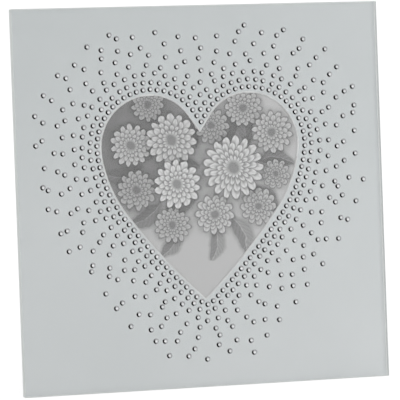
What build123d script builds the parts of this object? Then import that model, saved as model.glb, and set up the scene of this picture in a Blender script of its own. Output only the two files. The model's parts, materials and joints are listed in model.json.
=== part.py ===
from build123d import *
import math
import os
import random

# Free-standing square glass photo frame with a heart shaped window set in scattered crystals.
# Each piece is drawn in the frame of the panel that it belongs to, and the finished assembly
# is tipped back to stand on its bottom edge and its open strut.
# Panel frame: X to the right, Y from the glass face to the back, Z up from the bottom edge.
# Hinge frame: the same directions, with the origin on the axis of the hinge pin.
# All lengths are in millimetres and all angles in degrees.

# Glass panel and the silver film behind it
PANEL_WIDTH = 180.0
PANEL_HEIGHT = 180.0
GLASS_THICKNESS = 4.0
ARRIS = 0.4
FILM_THICKNESS = 0.2

# How the frame stands
LEAN_ANGLE = 7.5
LEG_ANGLE = 8.0
OPEN_ANGLE = LEAN_ANGLE + LEG_ANGLE
QUARTER_TURN = 90.0
FULL_TURN = 360.0

# Heart window: its tip, the tops of its lobes, and arcs that run on from each other
HEART_TIP_HEIGHT = 41.8
HEART_TOP_HEIGHT = 138.0
LOBE_SPACING = 48.0
INNER_LOBE_RADIUS = 22.0
INNER_LOBE_SWEEP = 55.0
OUTER_LOBE_RADIUS = 24.3
OUTER_LOBE_END = 8.0
FLANK_RADIUS = 60.5
FLANK_END = 37.0

# Flat-backed crystals, in rows that follow the heart and scatter as they leave it
CRYSTAL_DIAMETER = 2.5
CRYSTAL_TABLE = 1.5
CRYSTAL_HEIGHT = 1.0
CRYSTAL_SIDES = 6
CRYSTAL_LEAST_GAP = 0.2
CRYSTAL_SIDE_MARGIN = 9.0
CRYSTAL_TOP_MARGIN = 10.0
CRYSTAL_FOOT_MARGIN = 12.5
FIRST_ROW_OFFSET = 2.9
FIRST_ROW_PITCH = 3.4
ROW_OFFSET_SHARES = (1.0, 2.1, 3.4, 4.75, 6.3, 7.8, 9.35, 10.95)
ROW_PITCH_SHARES = (1.0, 1.2, 1.47, 2.1, 2.5, 2.9, 3.05, 3.2)
ROW_SCATTER_SHARES = (0.04, 0.14, 0.32, 0.55, 0.75, 0.8, 0.9, 0.9)
SCATTER_TRIES = 5
SCATTER_SEED = 11

# Wooden back, the tape on its rim, and the picture pocket
BACK_INSET = 10.0
BACK_THICKNESS = 5.0
BACK_CORNER = 3.0
TAPE_THICKNESS = 0.8
TAPE_WIDTH = 12.0
TAPE_EDGE_SHARE = 0.286
TAPE_END_GAP = 1.0
PICTURE_SIZE = 100.0
PICTURE_THICKNESS = 0.3
POCKET_CLEARANCE = 0.5
DOOR_CLEARANCE = 0.3
DOOR_THICKNESS = 3.0
DOOR_CORNER = 1.0

# Turn buttons that hold the door, with the screws that they turn on
BUTTON_THICKNESS = 0.8
BUTTON_WIDTH = 9.0
BUTTON_REACH = 13.0
BUTTON_RIB_WIDTH = 3.6
BUTTON_RIB_HEIGHT = 0.7
BUTTON_RIB_SLOPE = 40.0
BUTTON_RIB_GAP = 0.6
BUTTON_RIB_SETBACK = 1.8
BUTTON_SPACING = 60.0
BUTTON_EDGE_DISTANCE = 6.5
BUTTON_FLOAT = 0.05
SCREW_DIAMETER = 2.6
SCREW_HEAD_DIAMETER = 5.6
SCREW_HEAD_HEIGHT = 1.3
SCREW_DEPTH = 4.0
SCREW_FIT = 0.06

# Strut hinge: two brackets folded from sheet steel, their rivets and their pin
PIVOT_RISE = 35.0
PIVOT_STANDOFF = 3.4
SHEET_THICKNESS = 0.8
BEND_RADIUS = 1.0
BRACKET_WIDTH = 30.0
BRACKET_CORNER = 2.0
BRACKET_EAR_RADIUS = 3.0
BRACKET_EAR_SPREAD = 5.5
BRACKET_RISE = 14.0
BRACKET_DROP = 6.0
PIN_DIAMETER = 2.0
PIN_FIT = 0.05
PIN_HEAD_DIAMETER = 3.4
PIN_HEAD_HEIGHT = 0.6
SHOE_SIDE_GAP = 0.3
SHOE_EAR_RADIUS = 2.2
SHOE_EAR_DROP = 8.0
SHOE_EAR_TOE = 0.5
SHOE_DROP = 24.0
HEEL_START = 1.0
HEEL_HEIGHT = 4.2
HEEL_GAP = 0.02
RIVET_DIAMETER = 2.5
RIVET_HEAD_DIAMETER = 5.0
RIVET_HEAD_HEIGHT = 1.1
RIVET_FIT = 0.03
BRACKET_RIVET_SPACING = 16.0
BRACKET_RIVET_RISE = 9.5
SHOE_RIVET_SPACING = 8.0
SHOE_RIVET_DROP = 11.0

# Strut leg
LEG_THICKNESS = 3.0
LEG_SIDE_GAP = 0.25
LEG_TOP_GAP = 0.5
LEG_SHOULDER_DROP = 12.0
LEG_SHOULDER_LENGTH = 9.0
LEG_SHOULDER_WIDTH = 33.0
LEG_FOOT_WIDTH = 46.0
LEG_SHOULDER_FILLET = 6.0

# How far a drill or a cutting outline runs past the faces that it goes through
OVERRUN = 1.0

# Places that follow from the sizes above
PANEL_CENTRE = PANEL_HEIGHT / 2
BACK_WIDTH = PANEL_WIDTH - 2 * BACK_INSET
BACK_HEIGHT = PANEL_HEIGHT - 2 * BACK_INSET
FILM_BACK = GLASS_THICKNESS + FILM_THICKNESS
TAPE_BACK = FILM_BACK + TAPE_THICKNESS
BACK_FACE = TAPE_BACK + BACK_THICKNESS
PICTURE_BACK = FILM_BACK + PICTURE_THICKNESS
DOOR_FRONT = BACK_FACE - DOOR_THICKNESS
POCKET_SIZE = PICTURE_SIZE + 2 * POCKET_CLEARANCE
DOOR_SIZE = POCKET_SIZE - 2 * DOOR_CLEARANCE
BUTTON_X = POCKET_SIZE / 2 + BUTTON_EDGE_DISTANCE
BUTTON_HEIGHTS = (PANEL_CENTRE + BUTTON_SPACING / 2, PANEL_CENTRE - BUTTON_SPACING / 2)
PIVOT_HEIGHT = PANEL_CENTRE + PIVOT_RISE
PIVOT_DEPTH = BACK_FACE + PIVOT_STANDOFF
BRACKET_PLATE_BACK = SHEET_THICKNESS - PIVOT_STANDOFF
SHOE_WIDTH = BRACKET_WIDTH - 2 * (SHEET_THICKNESS + SHOE_SIDE_GAP)
SHOE_BACK = LEG_THICKNESS / 2 + SHEET_THICKNESS
SHOE_RIVET_HEIGHTS = (-SHOE_RIVET_DROP, -SHOE_RIVET_DROP - SHOE_RIVET_SPACING)


def sine(angle):
    return math.sin(math.radians(angle))


def cosine(angle):
    return math.cos(math.radians(angle))


# Height that the tilted glass is lifted by, so that its back bottom edge meets the table
STANDING_RISE = (GLASS_THICKNESS - ARRIS) * sine(LEAN_ANGLE)
PIVOT_ABOVE_TABLE = PIVOT_HEIGHT * cosine(LEAN_ANGLE) - PIVOT_DEPTH * sine(LEAN_ANGLE) + STANDING_RISE


def slab(outline, front, back):
    """Sheet of the given outline, drawn as seen from the front, between two depths."""
    plane = Plane(origin=(0, front, 0), x_dir=(1, 0, 0), z_dir=(0, -1, 0))
    return extrude(plane * outline, amount=back - front, dir=(0, 1, 0))


def across(outline, width):
    """Solid of an outline that is drawn from the side, with depth first and then height."""
    return extrude(Plane.YZ * outline, amount=width / 2, both=True)


def headed_rod(diameter, front, seat, head_diameter, head_height):
    """Rivet or screw with its flat round head at the back."""
    rod = slab(Circle(diameter / 2), front, seat)
    return rod + slab(Circle(head_diameter / 2), seat, seat + head_height)


# Glass, film and crystals


def heart_outline():
    """Heart seen from the front: a line and four arcs on each side of the middle."""
    lobe_top = Vector(LOBE_SPACING / 2, HEART_TOP_HEIGHT)
    back_along = INNER_LOBE_RADIUS * sine(INNER_LOBE_SWEEP)
    down = INNER_LOBE_RADIUS * (1 - cosine(INNER_LOBE_SWEEP))
    lobe_start = lobe_top - Vector(back_along, down)
    slope = sine(INNER_LOBE_SWEEP) / cosine(INNER_LOBE_SWEEP)
    cleft = Vector(0, lobe_start.Y - lobe_start.X * slope)
    rising = (cosine(INNER_LOBE_SWEEP), sine(INNER_LOBE_SWEEP))
    entry = Line(cleft, lobe_start)
    inner = JernArc(lobe_start, rising, INNER_LOBE_RADIUS, -INNER_LOBE_SWEEP)
    outer = JernArc(inner @ 1, inner % 1, OUTER_LOBE_RADIUS, -(QUARTER_TURN + OUTER_LOBE_END))
    flank = JernArc(outer @ 1, outer % 1, FLANK_RADIUS, OUTER_LOBE_END - FLANK_END)
    side = TangentArc(flank @ 1, (0, HEART_TIP_HEIGHT), tangent=flank % 1)
    half = Curve() + [entry, inner, outer, flank, side]
    return make_face(half + mirror(half, Plane.YZ))


def front_glass():
    """Clear plate with its arrises ground off."""
    plate = slab(Pos(Y=PANEL_CENTRE) * Rectangle(PANEL_WIDTH, PANEL_HEIGHT), 0, GLASS_THICKNESS)
    return chamfer(plate.edges(), ARRIS)


def silver_film(heart):
    """Opaque film on the back of the glass, open at the heart."""
    sheet = Rectangle(PANEL_WIDTH - 2 * ARRIS, PANEL_HEIGHT - 2 * ARRIS)
    return slab(Pos(Y=PANEL_CENTRE) * sheet - heart, GLASS_THICKNESS, FILM_BACK)


def crystal():
    """One stone: a flat six-sided back, a three-sided table, and a crown of six slopes."""
    girdle = [
        Vector(CRYSTAL_DIAMETER / 2, 0).rotate(Axis.Z, FULL_TURN * side / CRYSTAL_SIDES)
        for side in range(CRYSTAL_SIDES)
    ]
    table = [
        Vector(CRYSTAL_TABLE / 2, 0, CRYSTAL_HEIGHT).rotate(Axis.Z, FULL_TURN * (side + 0.5) / CRYSTAL_SIDES)
        for side in range(0, CRYSTAL_SIDES, 2)
    ]
    outlines = [girdle, table]
    for number, corner in enumerate(table):
        left = girdle[2 * number]
        right = girdle[2 * number + 1]
        outlines.append([left, right, corner])
        outlines.append([girdle[2 * number - 1], left, corner, table[number - 1]])
    return Solid(Shell([Face(Wire.make_polygon(outline)) for outline in outlines]))


def on_panel(x, height):
    """True where a stone may lie, clear of the bare border of the panel."""
    inside = abs(x) < PANEL_WIDTH / 2 - CRYSTAL_SIDE_MARGIN
    return inside and CRYSTAL_FOOT_MARGIN < height < PANEL_HEIGHT - CRYSTAL_TOP_MARGIN


def crystal_line(heart, offset):
    """Line round the heart that a row follows, and the share of it at which the cleft lies."""
    line = heart.face().outer_wire().offset_2d(offset, kind=Kind.ARC)
    cleft = line.vertices().sort_by(lambda corner: abs(corner.X))[0]
    return line, line.param_at_point(cleft.center())


def scattered(middle, reach, taken, dice):
    """Of a few places about a middle, the one that lies furthest from the stones already laid."""
    choices = []
    for _ in range(SCATTER_TRIES):
        distance = reach * dice.random()
        turn = dice.uniform(0, FULL_TURN)
        place = (middle.X + distance * cosine(turn), middle.Y + distance * sine(turn))
        gap = min((math.dist(place, other) for other in taken), default=math.inf)
        choices.append((gap, place))
    return max(choices)


def crystal_rows(heart):
    """Places of the stones in each row: even beside the heart, looser and wider apart outwards."""
    dice = random.Random(SCATTER_SEED)
    taken = []
    rows = []
    for offset, pitch, scatter in zip(ROW_OFFSET_SHARES, ROW_PITCH_SHARES, ROW_SCATTER_SHARES):
        line, cleft = crystal_line(heart, FIRST_ROW_OFFSET * offset)
        count = round(line.length / (FIRST_ROW_PITCH * pitch))
        row = []
        for number in range(count):
            middle = line.position_at((cleft + number / count) % 1)
            gap, place = scattered(middle, FIRST_ROW_PITCH * scatter, taken, dice)
            if on_panel(*place) and gap > CRYSTAL_DIAMETER + CRYSTAL_LEAST_GAP:
                taken.append(place)
                row.append(place)
        rows.append(row)
    return rows


def crystal_row(places, dice):
    """Stones of one row on the glass face, each turned its own way."""
    stone = crystal()
    stones = []
    for x, height in places:
        seat = Pos(X=x, Z=height) * Rot(X=QUARTER_TURN) * Rot(Z=dice.uniform(0, FULL_TURN))
        stones.append(stone.moved(seat))
    return Compound(stones)


# Tape, wooden back, picture and door


def tape_strips():
    """Four strips of foam tape that bond the rim of the wooden back to the film."""
    side_gap = TAPE_EDGE_SHARE * ((BACK_WIDTH - POCKET_SIZE) / 2 - TAPE_WIDTH)
    level_gap = TAPE_EDGE_SHARE * ((BACK_HEIGHT - POCKET_SIZE) / 2 - TAPE_WIDTH)
    top = BACK_HEIGHT / 2 - level_gap - TAPE_WIDTH / 2
    side = BACK_WIDTH / 2 - side_gap - TAPE_WIDTH / 2
    level = Rectangle(BACK_WIDTH - 2 * side_gap, TAPE_WIDTH)
    upright = Rectangle(TAPE_WIDTH, BACK_HEIGHT - 2 * (level_gap + TAPE_WIDTH + TAPE_END_GAP))
    strips = {
        "tape_top": Pos(Y=PANEL_CENTRE + top) * level,
        "tape_bottom": Pos(Y=PANEL_CENTRE - top) * level,
        "tape_left": Pos(X=-side, Y=PANEL_CENTRE) * upright,
        "tape_right": Pos(X=side, Y=PANEL_CENTRE) * upright,
    }
    return {name: slab(strip, FILM_BACK, TAPE_BACK) for name, strip in strips.items()}


def back_surround():
    """Wooden back with the square picture pocket and four screw holes."""
    board = RectangleRounded(BACK_WIDTH, BACK_HEIGHT, BACK_CORNER) - Rectangle(POCKET_SIZE, POCKET_SIZE)
    back = slab(Pos(Y=PANEL_CENTRE) * board, TAPE_BACK, BACK_FACE)
    hole = slab(Circle(SCREW_DIAMETER / 2 + SCREW_FIT), BACK_FACE - SCREW_DEPTH, BACK_FACE + OVERRUN)
    for height in BUTTON_HEIGHTS:
        for x in (-BUTTON_X, BUTTON_X):
            back -= Pos(X=x, Z=height) * hole
    return back


def picture_layer(front, back):
    """Square sheet in the picture pocket."""
    return slab(Pos(Y=PANEL_CENTRE) * Rectangle(PICTURE_SIZE, PICTURE_SIZE), front, back)


def back_door():
    """Hardboard door that closes the pocket and carries the strut hinge."""
    outline = RectangleRounded(DOOR_SIZE, DOOR_SIZE, DOOR_CORNER)
    door = slab(Pos(Y=PANEL_CENTRE) * outline, DOOR_FRONT, BACK_FACE)
    hole = slab(Circle(RIVET_DIAMETER / 2 + RIVET_FIT), DOOR_FRONT - OVERRUN, BACK_FACE + OVERRUN)
    for x in (-BRACKET_RIVET_SPACING / 2, BRACKET_RIVET_SPACING / 2):
        door -= Pos(X=x, Z=PIVOT_HEIGHT + BRACKET_RIVET_RISE) * hole
    return door


# Turn buttons


def turn_button():
    """Round-ended steel button with a pressed rib, reaching to the right of its screw."""
    length = BUTTON_REACH + BUTTON_WIDTH / 2
    plate = Pos(X=BUTTON_REACH - length / 2) * SlotOverall(length, BUTTON_WIDTH)
    plate -= Circle(SCREW_DIAMETER / 2 + SCREW_FIT)
    rib_start = SCREW_HEAD_DIAMETER / 2 + BUTTON_RIB_GAP
    rib_length = BUTTON_REACH - BUTTON_RIB_SETBACK - rib_start
    rib = Pos(X=rib_start + rib_length / 2) * Rectangle(rib_length, BUTTON_RIB_WIDTH)
    front = BACK_FACE + BUTTON_FLOAT
    back = front + BUTTON_THICKNESS
    ridge = extrude(rib, amount=BUTTON_RIB_HEIGHT, taper=BUTTON_RIB_SLOPE)
    return slab(plate, front, back) + Pos(Y=back) * Rot(X=-QUARTER_TURN) * ridge


def turn_buttons():
    """Two buttons on each side, all turned in over the door."""
    button = turn_button()
    buttons = {}
    for level, height in zip(("upper", "lower"), BUTTON_HEIGHTS):
        buttons["turn_button_" + level + "_left"] = Pos(X=-BUTTON_X, Z=height) * button
        buttons["turn_button_" + level + "_right"] = Pos(X=BUTTON_X, Z=height) * mirror(button, Plane.YZ)
    return buttons


def turn_button_screws():
    seat = BACK_FACE + BUTTON_THICKNESS + 2 * BUTTON_FLOAT
    screw = headed_rod(SCREW_DIAMETER, BACK_FACE - SCREW_DEPTH, seat, SCREW_HEAD_DIAMETER, SCREW_HEAD_HEIGHT)
    places = [(x, height) for x in (-BUTTON_X, BUTTON_X) for height in BUTTON_HEIGHTS]
    return Compound([(Pos(X=x, Z=height) * screw).solid() for x, height in places])


# Strut hinge, in the hinge frame


def folded_walls(width, plate_face, open_face, side_outline):
    """Sheet steel channel with rounded bends, cut to an outline drawn from the side."""
    depth = abs(open_face - plate_face)
    bore = 2 * SHEET_THICKNESS
    outer = fillet(Rectangle(width, 2 * depth).vertices(), BEND_RADIUS)
    inner = fillet(Rectangle(width - bore, 2 * depth - bore).vertices(), BEND_RADIUS - SHEET_THICKNESS)
    middle = (plate_face + open_face) / 2
    section = Pos(Y=open_face) * (outer - inner) & Pos(Y=middle) * Rectangle(width, depth)
    reach = side_outline.bounding_box()
    channel = extrude(section, amount=reach.size.Y + 2 * OVERRUN)
    return Pos(Z=reach.min.Y - OVERRUN) * channel & across(side_outline, width)


def bracket_plate(width, low, high, front, back):
    """Flat plate of a bracket with rounded corners, from its lowest to its highest level."""
    outline = RectangleRounded(width - 2 * BEND_RADIUS, high - low, BRACKET_CORNER)
    return slab(Pos(Y=(low + high) / 2) * outline, front, back)


def hinge_bracket():
    """Fixed bracket on the door: a plate with two ears that hold the pin."""
    foot = -PIVOT_STANDOFF
    low = (foot, -BRACKET_EAR_SPREAD)
    high = (foot, BRACKET_EAR_SPREAD)
    web = Polygon(low, (0, -BRACKET_EAR_RADIUS), (0, BRACKET_EAR_RADIUS), high, align=None)
    ear = web + Circle(BRACKET_EAR_RADIUS) - Circle(PIN_DIAMETER / 2 + PIN_FIT)
    walls = folded_walls(BRACKET_WIDTH, foot, BRACKET_EAR_RADIUS, ear)
    plate = bracket_plate(BRACKET_WIDTH, -BRACKET_DROP, BRACKET_RISE, foot, BRACKET_PLATE_BACK)
    hole = slab(Circle(RIVET_DIAMETER / 2 + RIVET_FIT), foot - OVERRUN, BRACKET_PLATE_BACK + OVERRUN)
    bracket = walls + plate
    for x in (-BRACKET_RIVET_SPACING / 2, BRACKET_RIVET_SPACING / 2):
        bracket -= Pos(X=x, Z=BRACKET_RIVET_RISE) * hole
    return bracket


def hinge_rivets():
    """Rivets that hold the bracket to the door, set flush inside it."""
    front = -PIVOT_STANDOFF - DOOR_THICKNESS
    rivet = headed_rod(RIVET_DIAMETER, front, BRACKET_PLATE_BACK, RIVET_HEAD_DIAMETER, RIVET_HEAD_HEIGHT)
    places = (-BRACKET_RIVET_SPACING / 2, BRACKET_RIVET_SPACING / 2)
    return Compound([(Pos(X=x, Z=BRACKET_RIVET_RISE) * rivet).solid() for x in places])


def hinge_pin():
    """Pin through both brackets, peened over outside the ears."""
    pin = across(Circle(PIN_DIAMETER / 2), BRACKET_WIDTH)
    head = across(Circle(PIN_HEAD_DIAMETER / 2), PIN_HEAD_HEIGHT)
    for side in (-1, 1):
        pin += Pos(X=side * (BRACKET_WIDTH + PIN_HEAD_HEIGHT) / 2) * head
    return pin


def heel_depth(height):
    """Depth of the heel's sloping face, which lies flat on the fixed plate when the leg is open."""
    return (BRACKET_PLATE_BACK + HEEL_GAP + height * sine(OPEN_ANGLE)) / cosine(OPEN_ANGLE)


def strut_shoe():
    """Moving bracket on the leg, whose two ears turn on the pin and stop on their heels."""
    ear = Polygon(
        (heel_depth(HEEL_START), HEEL_START),
        (heel_depth(HEEL_HEIGHT), HEEL_HEIGHT),
        (SHOE_BACK, HEEL_HEIGHT),
        (SHOE_BACK, -SHOE_EAR_DROP),
        (-SHOE_EAR_TOE, -SHOE_EAR_DROP),
        (-SHOE_EAR_RADIUS, 0),
        align=None,
    )
    ear = ear + Circle(SHOE_EAR_RADIUS) - Circle(PIN_DIAMETER / 2 + PIN_FIT)
    walls = folded_walls(SHOE_WIDTH, SHOE_BACK, BRACKET_PLATE_BACK, ear)
    plate = bracket_plate(SHOE_WIDTH, -SHOE_DROP, HEEL_HEIGHT, LEG_THICKNESS / 2, SHOE_BACK)
    shoe = walls + plate
    hole = slab(Circle(RIVET_DIAMETER / 2 + RIVET_FIT), 0, SHOE_BACK + OVERRUN)
    for height in SHOE_RIVET_HEIGHTS:
        shoe -= Pos(Z=height) * hole
    return shoe


def strut_rivets():
    """Rivets that hold the shoe to the leg, flush with the front of the leg."""
    rivet = headed_rod(RIVET_DIAMETER, -LEG_THICKNESS / 2, SHOE_BACK, RIVET_HEAD_DIAMETER, RIVET_HEAD_HEIGHT)
    return Compound([(Pos(Z=height) * rivet).solid() for height in SHOE_RIVET_HEIGHTS])


def sole_height(depth):
    """Height in the hinge frame of the table under the open leg, at a depth in the leg."""
    return -(PIVOT_ABOVE_TABLE + depth * sine(LEG_ANGLE)) / cosine(LEG_ANGLE)


def strut_leg():
    """Hardboard leg: a tongue inside the shoe, shoulders, a taper and a sole cut to the table."""
    half = LEG_THICKNESS / 2
    top = -(PIN_DIAMETER / 2 + LEG_TOP_GAP)
    tongue = SHOE_WIDTH / 2 - SHEET_THICKNESS - LEG_SIDE_GAP
    shoulder = -LEG_SHOULDER_DROP - LEG_SHOULDER_LENGTH
    right = [
        (tongue, top),
        (tongue, -LEG_SHOULDER_DROP),
        (LEG_SHOULDER_WIDTH / 2, shoulder),
        (LEG_FOOT_WIDTH / 2, sole_height(half)),
    ]
    left = [(-x, height) for x, height in reversed(right)]
    outline = Polygon(*right, *left, align=None)
    bends = [corner for corner in outline.vertices() if shoulder - OVERRUN < corner.Y < top - OVERRUN]
    outline = fillet(bends, LEG_SHOULDER_FILLET)
    sole = [(half, sole_height(half)), (-half, sole_height(-half))]
    side = Polygon((-half, top), (half, top), *sole, align=None)
    leg = slab(outline, -half, half) & across(side, LEG_FOOT_WIDTH)
    hole = slab(Circle(RIVET_DIAMETER / 2 + RIVET_FIT), -half - OVERRUN, half + OVERRUN)
    for height in SHOE_RIVET_HEIGHTS:
        leg -= Pos(Z=height) * hole
    return leg


# Assembly


def panel_pieces():
    """Every piece of the closed frame with its strut open, in the panel frame."""
    heart = heart_outline()
    pieces = {"front_glass": front_glass(), "silver_film": silver_film(heart)}
    dice = random.Random(SCATTER_SEED)
    for number, places in enumerate(crystal_rows(heart), start=1):
        pieces["crystal_row_" + str(number)] = crystal_row(places, dice)
    pieces.update(tape_strips())
    pieces["back_surround"] = back_surround()
    pieces["picture_print"] = picture_layer(FILM_BACK, PICTURE_BACK)
    pieces["pressure_card"] = picture_layer(PICTURE_BACK, DOOR_FRONT)
    pieces["back_door"] = back_door()
    pieces.update(turn_buttons())
    pieces["turn_button_screws"] = turn_button_screws()
    at_hinge = Pos(Y=PIVOT_DEPTH, Z=PIVOT_HEIGHT)
    pieces["hinge_bracket"] = at_hinge * hinge_bracket()
    pieces["hinge_rivets"] = at_hinge * hinge_rivets()
    pieces["hinge_pin"] = at_hinge * hinge_pin()
    opened = at_hinge * Rot(X=OPEN_ANGLE)
    pieces["strut_shoe"] = opened * strut_shoe()
    pieces["strut_rivets"] = opened * strut_rivets()
    pieces["strut_leg"] = opened * strut_leg()
    return pieces


def standing():
    """Every piece of the frame as it stands, with the middle of its footprint at the origin."""
    lean = Pos(Z=STANDING_RISE) * Rot(X=-LEAN_ANGLE)
    tipped = {name: lean * piece for name, piece in panel_pieces().items()}
    boxes = [piece.bounding_box() for piece in tipped.values()]
    middle = (min(box.min.Y for box in boxes) + max(box.max.Y for box in boxes)) / 2
    return {name: Pos(Y=-middle) * piece for name, piece in tipped.items()}


PIECES = standing()
os.makedirs("parts", exist_ok=True)
for piece_name, piece_shape in PIECES.items():
    export_step(piece_shape, os.path.join("parts", piece_name + ".step"))
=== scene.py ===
import bpy
import bmesh
import json
import math
from mathutils import Matrix, Vector

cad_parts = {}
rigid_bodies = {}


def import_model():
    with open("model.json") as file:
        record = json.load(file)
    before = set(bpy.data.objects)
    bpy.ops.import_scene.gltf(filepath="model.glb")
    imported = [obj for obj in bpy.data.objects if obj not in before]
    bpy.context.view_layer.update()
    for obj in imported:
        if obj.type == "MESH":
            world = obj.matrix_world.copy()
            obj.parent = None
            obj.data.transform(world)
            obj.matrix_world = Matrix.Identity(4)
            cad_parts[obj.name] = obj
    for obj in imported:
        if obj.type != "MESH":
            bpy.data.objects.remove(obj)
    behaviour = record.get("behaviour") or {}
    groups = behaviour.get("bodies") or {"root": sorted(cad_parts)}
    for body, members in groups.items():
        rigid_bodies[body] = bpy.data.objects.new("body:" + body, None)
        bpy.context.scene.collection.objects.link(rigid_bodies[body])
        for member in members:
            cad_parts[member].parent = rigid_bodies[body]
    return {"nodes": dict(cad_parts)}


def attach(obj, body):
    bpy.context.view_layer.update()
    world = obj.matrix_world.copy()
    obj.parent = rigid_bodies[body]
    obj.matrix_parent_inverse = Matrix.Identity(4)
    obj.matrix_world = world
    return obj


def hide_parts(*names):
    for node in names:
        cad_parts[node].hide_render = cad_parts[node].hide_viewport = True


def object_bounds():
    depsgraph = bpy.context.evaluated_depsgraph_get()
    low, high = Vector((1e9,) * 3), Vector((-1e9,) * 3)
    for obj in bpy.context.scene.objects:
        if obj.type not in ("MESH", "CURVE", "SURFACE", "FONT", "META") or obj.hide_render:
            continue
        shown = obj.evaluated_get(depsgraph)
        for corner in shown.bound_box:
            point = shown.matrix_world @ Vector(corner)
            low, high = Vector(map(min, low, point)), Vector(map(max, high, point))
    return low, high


# Square glass photo frame with a heart shaped window in a field of crystals, standing on its strut.
# Panel frame: X to the right, Y from the glass face to the back, Z up from the bottom edge.
# Lengths are in metres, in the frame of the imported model, and angles in degrees, unless said otherwise.

for leftover in list(bpy.data.objects):
    bpy.data.objects.remove(leftover)
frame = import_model()
cad_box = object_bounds()

MM = 0.001
MERGE_DISTANCE = MM / 1000
TOLERANCE = MM / 10
QUARTER_TURN = 90.0
FULL_TURN = 360.0
BLACK = (0.0, 0.0, 0.0)
WHITE = (1.0, 1.0, 1.0)

# Camera, at the photograph's viewing angle. The width of its sensor is in millimetres.
VIEW_AZIMUTH = -17.2146
VIEW_ELEVATION = 8.3004
VIEW_ROLL = 0.1205
VIEW_DISTANCE = 1.4113
VIEW_TARGET = (2.0 * MM, 0.0, 86.0 * MM)
VIEW_FOCUS_PIXELS = 2968.9
PHOTO_PIXELS = 400
SENSOR_WIDTH = 36.0

# Light: an even white room and two soft lamps. Gloss alone sees that the sides of the room are grey,
# and black low at the left.
ROOM_LEVEL = 0.81
SIDE_FROM_ANGLE = 41.0
SIDE_FULL_ANGLE = 66.0
SIDE_LEVEL = 0.52
BLACK_DIRECTION = (-0.9, 0.0, -0.4)
BLACK_FROM_ANGLE = 100.0
BLACK_FULL_ANGLE = 55.0
BLACK_LEVEL = 0.01
LAMP_PLACES = {"key_lamp": (-0.7, -1.3, 0.2), "fill_lamp": (1.0, -1.3, 0.22)}
LAMP_POWERS = {"key_lamp": 0.8, "fill_lamp": 1.7}
LAMP_SIZES = {"key_lamp": 0.7, "fill_lamp": 0.4}

# Floor: its tone as seen and as it lights the frame, its specks, and the strength of its glow
FLOOR_SIZE = 6.0
FLOOR_GAP = 0.2 * MM
FLOOR_SEEN_TONE = 0.45
FLOOR_BOUNCE_TONE = 0.8
FLOOR_SPECK_SHARE = 0.02
FLOOR_GLOW = 0.72

# Glass, the film behind it, the line round its window and the painted shadow just inside the window
GLASS_IOR = 1.52
GLASS_FILM_GAP = 0.02 * MM
FILM_LINE_WIDTH = 0.8 * MM
FILM_SHADE_WIDTH = 0.55 * MM
# Painted light on the film: how much lighter it is at the bottom edge and darker at the top
FILM_PAINTED_LIGHT_SHARE = 0.22
# Strength of the painted shadow just inside the window
EDGE_SHADOW_STRENGTH = 0.17

# Least cosine between the normal of a face and the axis that it looks along, and least cosine of
# half the turn at a corner of a rim that is moved
FLAT_COSINE = 0.99
LEAST_MITRE_COSINE = 0.5

# Crown of a stone, as shares of its radius and of its height, and its spread beyond the plain stone
STONE_SIDES = 8
STONE_SPREAD = 1.1
GIRDLE_HEIGHT_SHARE = 0.22
STAR_HEIGHT_SHARE = 0.86
STAR_RADIUS_SHARE = 0.55
TABLE_RADIUS_SHARE = 0.33

# Domed heads and the cross recess of a screw, as shares of the head's radius and height, with the
# turn from one stud to the next and the least angle of an edge that is drawn crisp
HEAD_SEGMENTS = 48
HEAD_STEPS = 8
HEAD_RIM_SHARE = 0.12
HEAD_TURN_RADIANS = 0.7
CRISP_ANGLE = 35.0
RECESS_LENGTH_SHARE = 0.56
RECESS_WIDTH_SHARE = 0.17
RECESS_DEPTH_SHARE = 0.7
RECESS_TAPER_SHARE = 0.45

# The two colours that each material passes between
CLEAR_COLOURS = ((0.985, 0.99, 0.985), WHITE)
GROUND_COLOURS = ((0.66, 0.69, 0.68), (0.78, 0.81, 0.80))
LACQUER_COLOURS = ((0.53, 0.565, 0.572), (0.62, 0.645, 0.652))
LINE_COLOURS = ((0.69, 0.70, 0.70), (0.76, 0.77, 0.77))
# Colours of the painted shadow just inside the window
EDGE_SHADOW_COLOURS = ((0.05, 0.05, 0.055), (0.08, 0.08, 0.085))
TABLE_COLOURS = ((0.64, 0.65, 0.655), (0.78, 0.785, 0.79))
CROWN_COLOURS = ((0.60, 0.61, 0.615), (0.74, 0.745, 0.75))
SIDES_COLOURS = ((0.62, 0.63, 0.64), (0.78, 0.785, 0.79))
FLOCK_COLOURS = ((0.008, 0.008, 0.009), (0.042, 0.041, 0.043))
TAPE_COLOURS = ((0.84, 0.83, 0.79), (0.68, 0.67, 0.63))
CARD_COLOURS = ((0.66, 0.65, 0.61), (0.80, 0.79, 0.76))
STEEL_COLOURS = ((0.58, 0.565, 0.535), (0.47, 0.455, 0.425))
STUD_COLOURS = ((0.40, 0.39, 0.37), (0.30, 0.29, 0.275))
PRINT_COLOURS = (BLACK, (1.0, 1.0, 1.005))


def sine(angle):
    """Sine of an angle in degrees."""
    return math.sin(math.radians(angle))


def cosine(angle):
    """Cosine of an angle in degrees."""
    return math.cos(math.radians(angle))


# Node trees


class Field:
    """A number that nodes work out, which takes part in sums as a plain number does."""

    def __init__(self, tree, socket):
        self.tree = tree
        self.socket = socket

    def __add__(self, other):
        return self.tree.math("ADD", self, other)

    def __radd__(self, other):
        return self.tree.math("ADD", other, self)

    def __sub__(self, other):
        return self.tree.math("SUBTRACT", self, other)

    def __rsub__(self, other):
        return self.tree.math("SUBTRACT", other, self)

    def __mul__(self, other):
        return self.tree.math("MULTIPLY", self, other)

    def __rmul__(self, other):
        return self.tree.math("MULTIPLY", other, self)

    def __truediv__(self, other):
        return self.tree.math("DIVIDE", self, other)

    def __pow__(self, other):
        return self.tree.math("POWER", self, other)


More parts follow.
